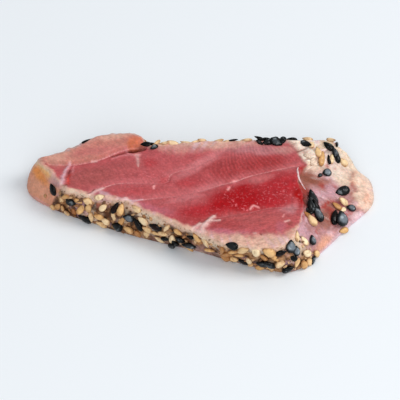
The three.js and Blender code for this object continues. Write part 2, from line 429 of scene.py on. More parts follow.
def surfaceFrame(where, row):
    # place on the lumpy wall, tangent round the slice, tangent up the profile and outward normal
    step = 0.02
    across = unit(sliceSurface(where + step, row)[0] - sliceSurface(where - step, row)[0])
    up = sliceSurface(where, row + step)[0] - sliceSurface(where, row - step)[0]
    normal = unit(np.cross(across, up))
    place = sliceSurface(where, row)[0]
    place = place + normal * wallLift(place, where, row)[..., None]
    return place, across, np.cross(normal, across), normal


def mergeClose(mesh, distance):
    # closes poles and seams, where several points of a grid share one place
    work = bmesh.new()
    work.from_mesh(mesh)
    bmesh.ops.remove_doubles(work, verts=work.verts, dist=distance * mm)
    work.to_mesh(mesh)
    work.free()


attributeKinds = {1: ("FLOAT", "value"), 3: ("FLOAT_VECTOR", "vector"), 4: ("FLOAT_COLOR", "color")}


def addMesh(name, points, faces, close, attributes=None):
    mesh = bpy.data.meshes.new(name)
    mesh.from_pydata((points.reshape(-1, 3) * mm).tolist(), [], faces.tolist())
    for label, values in (attributes or {}).items():
        flat = values.reshape(len(mesh.vertices), -1)
        kind, field = attributeKinds[flat.shape[1]]
        layer = mesh.attributes.new(label, kind, "POINT")
        layer.data.foreach_set(field, flat.astype(np.float32).ravel())
    mesh.polygons.foreach_set("use_smooth", np.full(len(mesh.polygons), True))
    piece = bpy.data.objects.new(name, mesh)
    scene.collection.objects.link(piece)
    mergeClose(mesh, close)
    return piece


def ringFaces(rows, around):
    # quads between neighbouring rings of a grid that closes on itself sideways
    row, step = np.meshgrid(np.arange(rows - 1), np.arange(around), indexing="ij")
    low, beside = row * around + step, row * around + (step + 1) % around
    return np.stack([low, beside, beside + around, low + around], -1).reshape(-1, 4)


# some tones stand for light: the dark split and gap tones paint shade in grooves, cracks and among seeds,
# the near-black char tone partly paints shade between the seeds, and the pale pink fleck tone paints glints
# of the wet face
tones = {
    "rose": (182, 86, 90), "flake": (194, 126, 114), "flakeEnd": (212, 116, 80), "dusk": (160, 82, 80),
    "deepRed": (162, 0, 14), "tailRed": (170, 22, 34), "warmRed": (172, 38, 46),
    "shadeRed": (160, 54, 56), "lowBand": (176, 84, 84), "rosePale": (190, 104, 106),
    "paleStreak": (212, 134, 138), "lilac": (188, 108, 124), "lavender": (226, 196, 206),
    "mauve": (186, 134, 138), "juice": (160, 0, 2), "stripe": (206, 72, 66), "cooked": (220, 184, 162),
    "farCooked": (206, 158, 146), "membrane": (236, 202, 196), "fleck": (250, 170, 170),
    "gapShade": (126, 50, 46), "splitShade": (112, 42, 28), "crust": (168, 124, 86), "toast": (84, 48, 26),
    "charAndShade": (40, 20, 12), "smear": (146, 108, 98), "leftWall": (206, 142, 114), "orange": (222, 138, 60),
    "amber": (224, 172, 112), "skin": (184, 134, 134), "film": (198, 152, 162), "bruise": (150, 90, 76),
    "skinRed": (164, 52, 42), "peach": (222, 158, 130), "lobe": (230, 198, 176), "cream": (230, 208, 184),
    "beige": (206, 178, 146), "tissue": (240, 222, 206), "lens": (136, 78, 60),
}
tones = {name: np.array(linear(value)) for name, value in tones.items()}

# patches on the face: middle and half sizes in millimetres, turn in degrees, tone, strength
facePatches = [
    (-27, -3.6, 6.5, 3.6, 20, "dusk", 0.8), (-20, 0.5, 7, 3.2, 28, "dusk", 0.35),
    (-12.4, 4.3, 2.2, 1.5, 10, "warmRed", 0.5), (-2.5, -0.4, 4.2, 2, 15, "tailRed", 0.45),
    (-7.6, -1, 1.6, 1.6, 0, "warmRed", 0.4), (-14, -6.2, 6, 1.8, 20, "warmRed", 0.3),
    (8, 6.2, 8.5, 3.4, 20, "shadeRed", 0.8), (17, 9, 6, 3.2, 24, "shadeRed", 0.95),
    (20.4, 1.8, 8, 5, 15, "warmRed", 0.95), (4, -9.6, 7.5, 2.6, 18, "tailRed", 0.85),
    (8, -5, 4, 2.4, 20, "tailRed", 0.85), (15.8, 3.8, 3.2, 1.6, 28, "rosePale", 0.8),
    (8, 2.2, 2.2, 1.2, 30, "shadeRed", 0.6), (22, 1.6, 3.6, 2, 10, "tailRed", 0.4),
    (12.4, -4.2, 8, 4.8, 8, "deepRed", 1), (11.8, -0.6, 2.4, 1.4, 20, "deepRed", 0.95),
    (7.6, -6.8, 2.6, 1.2, 24, "deepRed", 0.8), (4, -12.6, 2.6, 1.2, 10, "shadeRed", 0.6),
    (-7.8, -1.4, 1.6, 1, 10, "tailRed", 0.4), (19.6, -3.4, 4.4, 2.2, 8, "tailRed", 0.85),
    (17, -10.5, 11, 3, 12, "lowBand", 0.8), (5.5, -13, 9, 2, 3, "shadeRed", 0.6),
    (-10, -10.6, 7, 1.6, -12, "lilac", 0.6), (-21.4, -9, 3.2, 1.2, -22, "lavender", 0.6),
    (10, -15.8, 5, 1.2, 2, "lilac", 0.7), (24.6, -5.6, 2.4, 1.4, 10, "mauve", 0.6),
    (23.4, -11.6, 1.6, 2, 0, "lilac", 0.5), (-0.4, 5.6, 9, 1.5, 50, "paleStreak", 0.45),
    (-1.5, -6, 5, 1.2, 25, "paleStreak", 0.4), (3, -1.6, 4, 0.8, 34, "paleStreak", 0.3),
    (21.4, 8.2, 3, 0.9, 24, "rosePale", 0.45), (13.5, 13.4, 8.5, 1.8, 8, "mauve", 0.6),
    (20.5, 14.8, 3.5, 1.6, 20, "farCooked", 0.4), (-2.5, 13.2, 6.5, 1.5, 10, "cream", 0.7),
    (-17, 9.8, 1.9, 2.6, 0, "flakeEnd", 0.9), (-22, 12.2, 6, 1.8, 25, "cooked", 0.4),
    (-36, 3, 4, 4, 20, "cooked", 0.4), (26.4, -0.8, 3.9, 1.7, 100, "juice", 1),
    (26.7, 7, 2.4, 1.3, 104, "bruise", 0.95), (25.5, 8.2, 1.4, 0.7, 100, "tailRed", 0.9),
    (21.5, -16.2, 5.5, 1.5, 6, "cream", 0.4), (12.5, -17.4, 3.5, 1.2, -8, "cream", 0.3),
    (-16.2, -10.8, 1.6, 1, 0, "cream", 0.6), (-29, -9.4, 3.6, 1.2, -12, "cooked", 0.9),
    (2.5, 13.6, 5, 1.4, 12, "cooked", 0.7), (-26, 5.2, 7, 1.6, 22, "rosePale", 0.5),
    (-26.5, 10.6, 7.5, 1.8, 20, "cooked", 0.4),
]

# patches on the wall: station and height share, half sizes in both, turn in degrees, tone, strength
# the split patches paint shade among the black seeds of the skin end
wallPatches = [
    (0.7, 0.72, 0.75, 0.13, 0, "orange", 0.75), (0.85, 0.92, 0.8, 0.09, 0, "amber", 0.9),
    (0, 0.92, 0.35, 0.2, 0, "cream", 0.5), (1.2, 0.4, 0.5, 0.2, 0, "peach", 0.5),
    (1.6, 0.95, 0.35, 0.16, 0, "film", 0.7), (1.5, 0.06, 0.6, 0.1, 0, "film", 0.4),
    (3.33, 0.74, 0.1, 0.08, 0, "skinRed", 0.6), (3.4, 0.95, 0.3, 0.12, 0, "film", 0.6),
    (2.15, 0.3, 0.2, 0.3, 0, "toast", 0.6), (4.9, 0.82, 0.5, 0.14, 0, "cream", 0.7),
    (5.1, 0.14, 0.35, 0.14, 0, "smear", 0.7), (6.35, 0.3, 0.36, 0.26, 0, "smear", 0.9),
    (6.3, 0.8, 0.4, 0.16, 0, "cream", 0.8), (7.3, 0.9, 0.4, 0.12, 0, "cream", 0.5),
    (6.74, 0.38, 0.12, 0.4, 0, "orange", 0.5), (8.75, 0.7, 0.25, 0.3, 0, "cream", 0.7),
    (9.2, 0.85, 0.4, 0.3, 0, "film", 0.8), (9.4, 0.7, 0.12, 0.1, 0, "bruise", 0.5),
    (9.38, 0.24, 0.33, 0.14, 0, "peach", 0.9), (9.62, 0.56, 0.12, 0.08, 0, "bruise", 0.6),
    (9.84, 0.72, 0.12, 0.26, 0, "bruise", 0.8), (10, 0.45, 0.16, 0.12, 0, "splitShade", 0.9),
    (10.1, 0.5, 0.45, 0.2, 0, "bruise", 0.8), (10.2, 0.42, 0.1, 0.1, 0, "splitShade", 0.8),
    (10.35, 0.98, 0.44, 0.12, 0, "juice", 0.95), (10.3, 0.86, 0.42, 0.1, 0, "splitShade", 0.8),
    (10.6, 0.7, 0.28, 0.08, -20, "film", 0.8), (10.62, 0.88, 0.14, 0.1, 0, "skinRed", 0.9),
    (10.45, 0.565, 0.26, 0.045, -25, "skinRed", 1), (10.42, 0.47, 0.16, 0.06, 0, "bruise", 0.7),
    (10.82, 0.92, 0.16, 0.12, 0, "bruise", 0.8), (11.06, 0.68, 0.12, 0.05, 0, "skinRed", 1),
    (10.98, 0.56, 0.24, 0.09, 0, "film", 0.8), (11.1, 0.85, 0.28, 0.15, 0, "bruise", 1),
    (11.2, 0.99, 0.14, 0.07, 0, "skinRed", 0.9), (10.62, 0.38, 0.2, 0.08, 0, "skinRed", 0.5),
    (11.45, 0.5, 0.2, 0.12, 0, "cream", 0.7), (11.7, 0.42, 0.55, 0.22, 0, "cream", 0.6),
    (11.9, 0.18, 0.5, 0.16, 0, "lavender", 0.5), (11.6, 0.9, 0.3, 0.16, 0, "cream", 0.8),
    (12.2, 0.75, 0.5, 0.3, 0, "tissue", 0.7), (12.3, 0.3, 0.5, 0.3, 0, "cream", 0.85),
    (12.6, 0.6, 0.4, 0.3, 0, "cream", 0.7), (0.6, 0.98, 0.9, 0.07, 0, "cream", 0.5),
    (2.7, 0.97, 0.5, 0.08, 0, "cream", 0.7), (11.1, 0.84, 0.14, 0.13, 0, "lens", 1),
    (11.6, 0.62, 0.2, 0.12, 0, "tissue", 0.7), (11.17, 0.66, 0.1, 0.07, 0, "bruise", 0.8),
]

# where the face glistens, shown as painted glints, and where it is speckled pink: middle, half sizes, turn,
# strength
wetPatches = [(13.0, -5.0, 5.0, 2.6, 10, 0.35), (21, -2, 6, 3, 10, 0.3)]
wetArc = [(9.3, 1.6), (8.3, -0.8), (8.4, -3.6), (10.2, -6.2), (13.0, -7.4), (16.4, -6.0)]
pinkPatches = [(-13, -1.2, 6.5, 2.4, 12, 0.6), (-4, -7, 4, 2, 20, 0.5), (21, -1, 6, 3.5, 10, 0.3)]


def patch(x, y, midX, midY, reachX, reachY, turn=0):
    # 1 inside an ellipse, falling away at its edge like exp(-r^4)
    offX, offY = x - midX, y - midY
    c, s = math.cos(math.radians(turn)), math.sin(math.radians(turn))
    far = ((offX * c + offY * s) / reachX) ** 2 + ((offY * c - offX * s) / reachY) ** 2
    return np.exp(-far * far)


def patchSum(x, y, table):
    return sum(strength * patch(x, y, *spot) for *spot, strength in table)


def paint(colour, *layers):
    # tones laid over a colour one after another, each with its share
    for tone, share in layers:
        colour = blend(colour, tones[tone], np.clip(share, 0, 1)[..., None])
    return colour


def patchLayers(x, y, table):
    return ((tone, patch(x, y, *spot) * strength) for *spot, tone, strength in table)


def paintFace(points, where, depth, cooked, fields):
    # rose flesh, patches of other tones, a ragged cooked band with streaks across the rim, painted shade in
    # the split below the flake, and strokes
    x, y = points[..., 0], points[..., 1]
    cloud = roughNoise(flatPlaces(x, y), 3.0, 21)
    streaks = roughNoise(ringSpot(where) + points * (0.1, 0.1, 0), 1.1, 37, 2)
    edge = depth + 0.45 * roughNoise(points, 1.6, 31) + 0.2 * cooked * streaks
    band = 1 - ease(edge, cooked * 0.35, cooked * 1.5)
    edgeReach = 0.7 + 0.5 * ease(where, 13.5, 14.2)
    tissue = tissueShare(x + cloud * 0.5, y)
    browning = roughNoise(points, 2.2, 29) + 0.2 * (x - 28)
    # painted shade along the split below the flake, fading at both ends
    distance, share = alongSeam(x, y, splitPath)
    splitWidth = 0.3 + 0.4 * ease(share, 0.4, 0.7)
    splitShadow = ease(share, 0, 0.2) * (1 - ease(share, 0.9, 1)) * bell(distance, splitWidth)

    colour = paint(
        tones["rose"],
        ("flake", ease(fields[0][0], -0.2, 0.4) * (x < -13)),
        *patchLayers(x + cloud * 0.8, y + cloud * 0.6, facePatches),
        *(("paleStreak", bell(distance - 0.7, 1.0) * 0.2) for distance, _ in fields[1:3]))
    nearBand = paint(colour, ("cooked", band * 0.8))
    farBand = paint(colour, ("farCooked", band * 0.75))
    colour = np.where((where < stationCount / 2)[..., None], nearBand, farBand)
    return paint(
        colour,
        ("lavender", band * ease(streaks, 0.0, 0.8) * 0.6),
        ("cooked", (1 - ease(edge, 0, edgeReach)) * (1 - between(where, 9.8, 11.4)) * 0.85),
        ("tissue", tissue),
        ("beige", tissue * ease(browning, 0.0, 0.6) * 0.7),
        ("lavender", tissue * cloudy(points, 2.0, 28, 0.0, 0.5) * 0.7),
        ("bruise", tissue * cloudy(points, 1.4, 27, 0.3, 0.8) * 0.5),
        ("skinRed", bell(tissue - 0.45, 0.3) * 0.4),
        ("splitShade", splitShadow * (1 + 0.5 * cloud)),
        *((tone, strength * share) for tone, _, strength, share in markShares(x, y)))


def paintWall(points, where):
    # brown crust with toasted and creamy places, its darkest browns partly searing and partly painted shade
    # between the seeds, a bare salmon left end and a pink skin, then patches
    rise = points[..., 2] / bodyHeight
    cloud = roughNoise(points, 2.4, 49)
    streaks = roughNoise(points * (1, 1, 0.3), 1.1, 43)
    top = ease(rise + 0.06 * streaks, 0.80, 0.90)
    bare = np.clip(between(where, 18.9, 20, 0.3) + between(where, 0, 1.85, 0.15), 0, 1)
    skin = between(where, 8.95, 12.2, 0.3)
    lobe = lobeMask(where, rise)
    crust = paint(
        tones["crust"],
        # the crust shows between the seeds: its toasted and near-black browns are partly real searing and
        # partly painted shade in the gaps between the seeds
        ("toast", cloudy(points, 1.6, 41, -0.2, 0.6)),
        ("charAndShade", cloudy(points, 1.3, 42, 0.1, 0.5) * 0.85),
        ("cream", cloudy(points, 2.2, 45, 0.2, 0.8) * 0.5),
        ("film", cloudy(points, 2.0, 46, 0.2, 0.8) * 0.5),
        ("cooked", top * 0.9),
        ("crust", top * ease(streaks, 0.1, 0.8) * 0.35))
    left = paint(
        tones["leftWall"],
        ("peach", cloudy(points, 2.8, 47, 0, 0.8) * 0.5),
        ("toast", bell(where - 0.05, 0.12) * ease(cloud, -0.6, 0.8) * 0.5))
    film = paint(
        tones["skin"],
        ("film", cloudy(points * (1, 1, 1.6), 2.9, 53, 0.1, 0.8) * 0.6),
        ("lavender", cloudy(points, 1.5, 63, 0.1, 0.9) * 0.5),
        ("bruise", cloudy(points * (1, 1, 1.4), 1.3, 59, 0.25, 0.9) * 0.4),
        ("lavender", (1 - ease(rise + 0.05 * cloud, 0.08, 0.22)) * 0.7))
    colour = paint(
        blend(blend(crust, left, bare[..., None]), film, skin[..., None]),
        *patchLayers(where + cloud * 0.06, rise + cloud * 0.04, wallPatches),
        ("skinRed", cloudy(points * (1, 1, 1.6), 2.6, 51, 0.5, 0.8) * skin * 0.6),
        ("lobe", lobe * 0.9),
        ("peach", cloudy(points, 2.0, 55, 0.1, 0.7) * lobe * 0.6),
        ("film", ease(-roughNoise(points, 2.4, 57), 0.2, 0.8) * lobe * 0.7),
        # a painted shadow line in skin red along the step of the torn lobe
        ("skinRed", bell(lobe - 0.4, 0.25) * between(where, 10.7, 11.9, 0.1) * 0.5))
    return colour, skin, (1 - bare) * (1 - skin)


grainLook = {
    "lean": 28, "bend": 0.02, "fine": (1.7, 0.5),  # straight fibres
    "ringLean": -35, "ringBend": 0.9, "ringSoft": 3.0, "ringPeriod": 0.95,  # nested arcs
    "ringArea": (11, 7.6, 13, 5.6, 22),
    "plain": 0.35, "ringGain": 0.65, "lowGain": 0.3,  # how strongly each shows
}


def turned(x, y, degrees):
    # the same places read along axes turned by that angle
    c, s = math.cos(math.radians(degrees)), math.sin(math.radians(degrees))
    return x * c + y * s, y * c - x * s


def grainOf(x, y, fields):
    # fibres lean in most bands, run lengthways in the low right one and bend in arcs above that
    along, across = turned(x, y, grainLook["lean"])
    band = sum(ease(d, -0.15, 0.15) for d, _ in fields)
    quick, slow = grainLook["fine"]
    low = (1 - ease(fields[3][0], -0.2, 0.2)) * ease(x, 3, 6)
    arc = along + grainLook["bend"] * across**2
    grain = np.stack([quick * blend(arc, across, low), slow * blend(across, along, low), 3.7 * band], -1)
    # arcs: straight lines square to q that bend upwards on the left of a corner which moves along with q
    p, q = turned(x, y, grainLook["ringLean"])
    corner = 7.5 * np.tanh(q / 10) - 2.8 - p
    ring = q - grainLook["ringBend"] * (np.sqrt(corner**2 + grainLook["ringSoft"] ** 2) + corner) / 2
    ringShare = ease(fields[2][0], -0.1, 0.2) * ease(x - 0.5 * (y - 5), 0, 5)
    return grain, ring, ringShare, low


def makeSlice():
    rows = [np.linspace(k, k + 1, n, endpoint=False) for k, n in enumerate(tuna["rows"].values())]
    rows = np.concatenate(rows + [[5.0]])
    around = tuna["around"]
    row, where = np.meshgrid(rows, np.arange(around) * stationCount / around, indexing="ij")
    points, depth, cooked = sliceSurface(where, row)
    x, y = points[..., 0], points[..., 1]
    fields = [alongSeam(x, y, seam["path"]) for seam in seams]
    raw = ease(row, 3.2, 3.9) + (row < 1)
    wallColour, skin, seared = paintWall(points, where)
    colour = blend(wallColour, paintFace(points, where, depth, cooked, fields), raw[..., None])
    sideways = np.roll(points, -1, 1) - np.roll(points, 1, 1)
    normal = unit(np.cross(sideways, np.gradient(points, axis=0)))
    points = points + normal * wallLift(points, where, row)[..., None]
    points[..., 2] = np.maximum(points[..., 2], 0)

    grain, ring, ringShare, low = grainOf(x, y, fields)
    nearest = np.argmin([np.abs(d) for d, _ in fields], axis=0)
    seamDistance = np.choose(nearest, [d for d, _ in fields])
    shows = [np.interp(share, np.linspace(0, 1, len(seam["show"])), seam["show"])
             for (_, share), seam in zip(fields, seams)]
    seamShow = np.choose(nearest, shows) * raw * (row > 2)
    wet = bell(alongSeam(x, y, wetArc)[0], 0.9) + patchSum(x, y, wetPatches)
    speckle = 0.25 + patchSum(x, y, pinkPatches)
    fibre = grainLook["plain"] + grainLook["ringGain"] * ringShare * patch(x, y, *grainLook["ringArea"])
    fibre = fibre + grainLook["lowGain"] * low
    piece = addMesh("tuna_body", points, ringFaces(len(rows), around), 1e-4, {
        "tone": np.concatenate([colour, np.ones_like(colour[..., :1])], -1),
        "grain": grain, "ring": ring, "ringShare": ringShare, "seared": seared * (1 - raw),
        "seamDistance": seamDistance, "seamShow": seamShow, "raw": raw, "skin": skin * (1 - raw),
        "wet": np.clip(wet, 0, 1) * raw, "speckle": speckle * raw, "fibre": fibre * raw})
    return piece, points[row[:, 0] >= 2]


body, outerPoints = makeSlice()
print("slice:", len(body.data.vertices), "vertices")


def wire(tree, node, inputs):
    # gives each named input of a node a value or a link
    for name, value in inputs.items():
        if isinstance(value, bpy.types.NodeSocket):
            tree.links.new(value, node.inputs[name])
        else:
            node.inputs[name].default_value = value
    return node


def put(tree, kind, inputs=None, **options):
    # adds a node with its options and inputs
    node = tree.nodes.new(kind)
    for name, value in options.items():
        setattr(node, name, value)
    return wire(tree, node, inputs or {})


def colourOf(value):
    return (*linear(value), 1)


def mixColour(tree, share, a, b, kind="MIX"):
    node = put(tree, "ShaderNodeMix", {"Factor": share, "A": a, "B": b}, data_type="RGBA", blend_type=kind)
    return node.outputs["Result"]


def mixValue(tree, share, a, b):
    return put(tree, "ShaderNodeMix", {"Factor": share, "A": a, "B": b}).outputs["Result"]


def mapTo(tree, value, start, end, low=0.0, high=1.0, smooth=False):
    inputs = {"Value": value, "From Min": start, "From Max": end, "To Min": low, "To Max": high}
    kind = "SMOOTHSTEP" if smooth else "LINEAR"
    return put(tree, "ShaderNodeMapRange", inputs, interpolation_type=kind).outputs["Result"]


def sums(tree, kind, a, b=0.0):
    return put(tree, "ShaderNodeMath", {0: a, 1: b}, operation=kind).outputs[0]


def times(tree, a, b):
    return sums(tree, "MULTIPLY", a, b)


def newGroup(name, inputs, outputs):
    group = bpy.data.node_groups.new(name, "ShaderNodeTree")
    for label, kind, value in inputs:
        socket = group.interface.new_socket(label, in_out="INPUT", socket_type="NodeSocket" + kind)
        if value is not None:
            socket.default_value = value
    for label, kind in outputs:
        group.interface.new_socket(label, in_out="OUTPUT", socket_type="NodeSocket" + kind)
    return group, put(group, "NodeGroupInput").outputs, put(group, "NodeGroupOutput")


def noiseOf(tree, place, scale, detail, **others):
    inputs = {"Vector": place, "Scale": scale, "Detail": detail, **others}
    return put(tree, "ShaderNodeTexNoise", inputs).outputs["Fac"]


def mottleGroup():
    # soft noise that darkens and lightens a colour, and gives its height
    group, given, result = newGroup("mottle", [
        ("Color", "Color", None), ("Place", "Vector", None), ("Scale", "Float", 1.0),
        ("Detail", "Float", 2.0), ("Dark", "Float", 0.9), ("Light", "Float", 1.1)],
        [("Color", "Color"), ("Height", "Float")])
    noise = noiseOf(group, given["Place"], given["Scale"], given["Detail"])
    factor = mapTo(group, noise, 0.3, 0.7, given["Dark"], given["Light"])
    colour = mixColour(group, 1.0, given["Color"], factor, "MULTIPLY")
    wire(group, result, {"Color": colour, "Height": noise})
    return group


def fleckGroup():
    # small ragged spots of another colour, where fine noise passes a threshold
    group, given, result = newGroup("flecks", [
        ("Color", "Color", None), ("Place", "Vector", None), ("Scale", "Float", 1.0),
        ("Start", "Float", 0.65), ("Fleck", "Color", None), ("Amount", "Float", 1.0)],
        [("Color", "Color"), ("Mask", "Float")])
    over = sums(group, "SUBTRACT", noiseOf(group, given["Place"], given["Scale"], 1.0), given["Start"])
    mask = times(group, mapTo(group, over, 0.0, 0.09), given["Amount"])
    wire(group, result, {"Color": mixColour(group, mask, given["Color"], given["Fleck"]), "Mask": mask})
    return group


mottle = mottleGroup()
flecks = fleckGroup()


def newMaterial(name):
    material = bpy.data.materials.new(name)
    material.use_nodes = True
    return material, material.node_tree, material.node_tree.nodes["Principled BSDF"]


def rampOf(tree, value, ramp):
    # colour ramp from pairs of place and colour
    node = put(tree, "ShaderNodeValToRGB", {"Fac": value})
    stops = node.color_ramp.elements
    while len(stops) < len(ramp):
        stops.new(0.5)
    for stop, (at, colour) in zip(stops, ramp):
        stop.position, stop.color = at, colourOf(colour)
    return node.outputs["Color"]


def attribute(tree, name, output="Fac"):
    return put(tree, "ShaderNodeAttribute", attribute_name=name).outputs[output]


def placeInMm(tree, scale=(1, 1, 1)):
    place = put(tree, "ShaderNodeTexCoord").outputs["Object"]
    return put(tree, "ShaderNodeMapping", {
        "Vector": place, "Scale": tuple(s / mm for s in scale)}).outputs["Vector"]


def grouped(tree, group, inputs):
    return put(tree, "ShaderNodeGroup", inputs, node_tree=group).outputs


def bumped(tree, height, strength, distance):
    return put(tree, "ShaderNodeBump", {
        "Height": height, "Strength": strength, "Distance": distance * mm}).outputs["Normal"]


def speckled(tree, base, place, clouds, spots):
    # a colour clouded by the mottle group and spotted by the fleck group, and the clouds' height
    soft = grouped(tree, mottle, {"Color": base, "Place": place, **clouds})
    speck = grouped(tree, flecks, {"Color": soft["Color"], "Place": place, **spots})
    return speck["Color"], soft["Height"]


flesh = {
    "fibreRange": (0.36, 0.64), "fibreContrast": 0.19, "bump": (0.6, 0.1), "bumpClouds": 0.8,
    "arcScale": 0.55, "arcWobble": 5.0, "arcNoise": 0.35,
    "seamWidth": 0.34, "seamColour": (230, 168, 168), "seamGaps": (0.40, 0.58, 0.4, 1.0),
    "clouds": {"Scale": 0.7, "Detail": 3.0, "Dark": 0.86, "Light": 1.12},
    "grain": {"Scale": 1.9, "Detail": 1.0, "Dark": 0.90, "Light": 1.10},
    "pinkSpots": {"Scale": 1.7, "Start": 0.58, "Fleck": colourOf((206, 108, 114))},
    # the white spots are painted glints of the wet face, more of them where it is wet
    "paintedGlints": {"Scale": 1.4, "Fleck": colourOf((236, 122, 130)), "Amount": 0.55},
    "wetStart": (0.80, 0.56),  # threshold of the white spots where it is dry and where it is wet
    "darkSpots": {"Scale": 1.5, "Start": 0.60, "Fleck": colourOf((84, 46, 24))},
    "skinStreaks": {"Scale": 1.3, "Detail": 4.0, "Dark": 0.84, "Light": 1.12},
    "darkAmount": 0.7, "roughness": (0.30, 0.46), "spotGloss": 0.1, "skinCoat": 0.3,
    "shader": {
        "Subsurface Weight": 0.12, "Subsurface Radius": (1.2, 0.35, 0.25), "Subsurface Scale": mm,
        "Specular IOR Level": 0.16, "Coat Roughness": 0.18},
}


def fibreOf(tree, place):
    # stretched noise along the straight fibres, and a wobbling sine wave across the nested arcs
    straight = noiseOf(tree, attribute(tree, "grain", "Vector"), 1.0, 2.0, Distortion=0.4)
    turn = times(tree, attribute(tree, "ring"), 2 * math.pi / grainLook["ringPeriod"])
    wobble = times(tree, noiseOf(tree, place, flesh["arcScale"], 2.0), flesh["arcWobble"])
    wave = sums(tree, "SINE", sums(tree, "ADD", turn, wobble))
    arcs = mapTo(tree, wave, -1.0, 1.0, *flesh["fibreRange"])
    arcs = mixValue(tree, flesh["arcNoise"], arcs, straight)
    return mixValue(tree, attribute(tree, "ringShare"), straight, arcs)


def fleshMaterial():
    material, tree, shader = newMaterial("raw_tuna")
    raw, skin, wet = (attribute(tree, name) for name in ("raw", "skin", "wet"))
    place = placeInMm(tree)

    fibre = fibreOf(tree, place)
    contrast = flesh["fibreContrast"]
    light = mapTo(tree, fibre, *flesh["fibreRange"], 1 - contrast, 1 + contrast)
    tone = attribute(tree, "tone", "Color")
    colour = mixColour(tree, attribute(tree, "fibre"), tone, light, "MULTIPLY")
    soft = grouped(tree, mottle, {"Color": colour, "Place": place, **flesh["clouds"]})
    fine = grouped(tree, mottle, {"Color": soft["Color"], "Place": place, **flesh["grain"]})

    away = sums(tree, "ABSOLUTE", attribute(tree, "seamDistance"))
    broken = mapTo(tree, fine["Height"], *flesh["seamGaps"])
    line = mapTo(tree, away, 0.0, flesh["seamWidth"], 1.0, 0.0, smooth=True)
    line = times(tree, times(tree, line, attribute(tree, "seamShow")), broken)
    colour = mixColour(tree, line, fine["Color"], colourOf(flesh["seamColour"]))
    pink = grouped(tree, flecks, {
        "Color": colour, "Place": place, "Amount": attribute(tree, "speckle"), **flesh["pinkSpots"]})
    # painted glints: pale spots on the cut face, more of them where it is wet
    white = grouped(tree, flecks, {
        "Color": pink["Color"], "Place": place, "Start": mapTo(tree, wet, 0.0, 1.0, *flesh["wetStart"]),
        **flesh["paintedGlints"]})

    # the wall: toasted grain on the crust, and streaks of film on the skin
    toasted = grouped(tree, flecks, {
        "Color": fine["Color"], "Place": place,
        "Amount": times(tree, attribute(tree, "seared"), flesh["darkAmount"]), **flesh["darkSpots"]})
    streak = grouped(tree, mottle, {
        "Color": fine["Color"], "Place": placeInMm(tree, (1.0, 2.4, 1.0)), **flesh["skinStreaks"]})
    wall = mixColour(tree, skin, toasted["Color"], streak["Color"])

    rough = mapTo(tree, soft["Height"], 0.3, 0.7, *flesh["roughness"])
    height = sums(tree, "ADD", times(tree, fibre, attribute(tree, "fibre")),
                  times(tree, soft["Height"], flesh["bumpClouds"]))
    wire(tree, shader, {
        "Base Color": mixColour(tree, raw, wall, white["Color"]),
        "Roughness": sums(tree, "SUBTRACT", rough, times(tree, white["Mask"], flesh["spotGloss"])),
        "Coat Weight": times(tree, skin, flesh["skinCoat"]),
        "Normal": bumped(tree, height, *flesh["bump"]), **flesh["shader"]})
    return material


body.data.materials.append(fleshMaterial())
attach(body, "root")
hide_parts("tuna_slice")
print("flesh is painted")

sesame = {
    "length": 3.2, "width": 2.0, "thick": 1.15,
    "rings": 7, "around": 10,
    "proud": (0.08, 0.38),  # how far the middle of a seed stands out of the crust, least and most
    "sunk": (-0.3, 0.15),  # added to that for scattered seeds
    "sizeSpread": 0.08, "lean": 0.2,
}
floorGap = 0.02  # least height of loose pieces above the floor, in millimetres


def turnsOf(count):
    return np.arange(count) * 2 * math.pi / count


def seedForm():
    # a flat drop along X of unit size: round sections that swell as sqrt(t(1-t)), fuller at the blunt end
    t = (1 - np.cos(np.linspace(0, math.pi, sesame["rings"] + 1))) / 2
    t, turn = np.meshgrid(t, turnsOf(sesame["around"]), indexing="ij")
    swell = np.sqrt(np.clip(4 * t * (1 - t), 0, 1)) * (1.2 - 0.5 * t) * (1 - 0.35 * t**4)
    flat = np.sign(np.sin(turn)) * np.abs(np.sin(turn)) ** 0.8
    return np.stack([t - 0.5, 0.5 * swell * np.cos(turn), 0.5 * swell * flat], -1), t, turn


def tipped(a, b, angle):
    # turns two axes that stand square to each other by that angle, each in the plane of both
    c, s = np.cos(angle)[:, None], np.sin(angle)[:, None]
    return a * c + b * s, b * c - a * s


def setOnWall(form, where, row, turn, lean, size, rise):
    # a unit form times turned, leaned and sized axes plus its place, lifted off the floor where needed
    place, across, up, normal = surfaceFrame(where, row)
    long, side = tipped(across, up, turn)
    long, normal = tipped(long, normal, lean[:, 0])
    side, normal = tipped(side, normal, lean[:, 1])
    axes = np.stack([long, side, normal], 1) * size[:, :, None]
    points = np.einsum("rak,nkj->nraj", form, axes) + (place + normal * rise[:, None])[:, None, None, :]
    lowest = points[..., 2].min(axis=(1, 2))
    points[..., 2] += np.maximum(floorGap - lowest, 0)[:, None, None]
    return points


def copiedFaces(rings, around, count):
    faces = ringFaces(rings, around)
    return (faces[None] + np.arange(count)[:, None, None] * rings * around).reshape(-1, 4)


def makeSeeds(name, where, row, turn, length, width, tint, heap, seedNumber):
    rng = np.random.default_rng(seedNumber)
    count = len(where)
    spread = rng.normal(1, sesame["sizeSpread"], count)
    thick = sesame["thick"] * spread * np.clip(width / sesame["width"], 0.6, 1.3)
    size = np.stack([length, width, thick], -1)
    lean = rng.normal(0, sesame["lean"], (count, 2))
    form, t, around = seedForm()
    points = setOnWall(form, where, row, turn, lean, size, heap + rng.uniform(*sesame["proud"], count))
    return addMesh(name, points, copiedFaces(sesame["rings"] + 1, sesame["around"], count), 1e-3, {
        "tint": np.broadcast_to(tint[:, None, None], points.shape[:3]),
        "rim": np.broadcast_to(np.hypot(2 * t - 1, 0.75 * np.cos(around)), points.shape[:3]),
        "along": np.broadcast_to(t, points.shape[:3])})
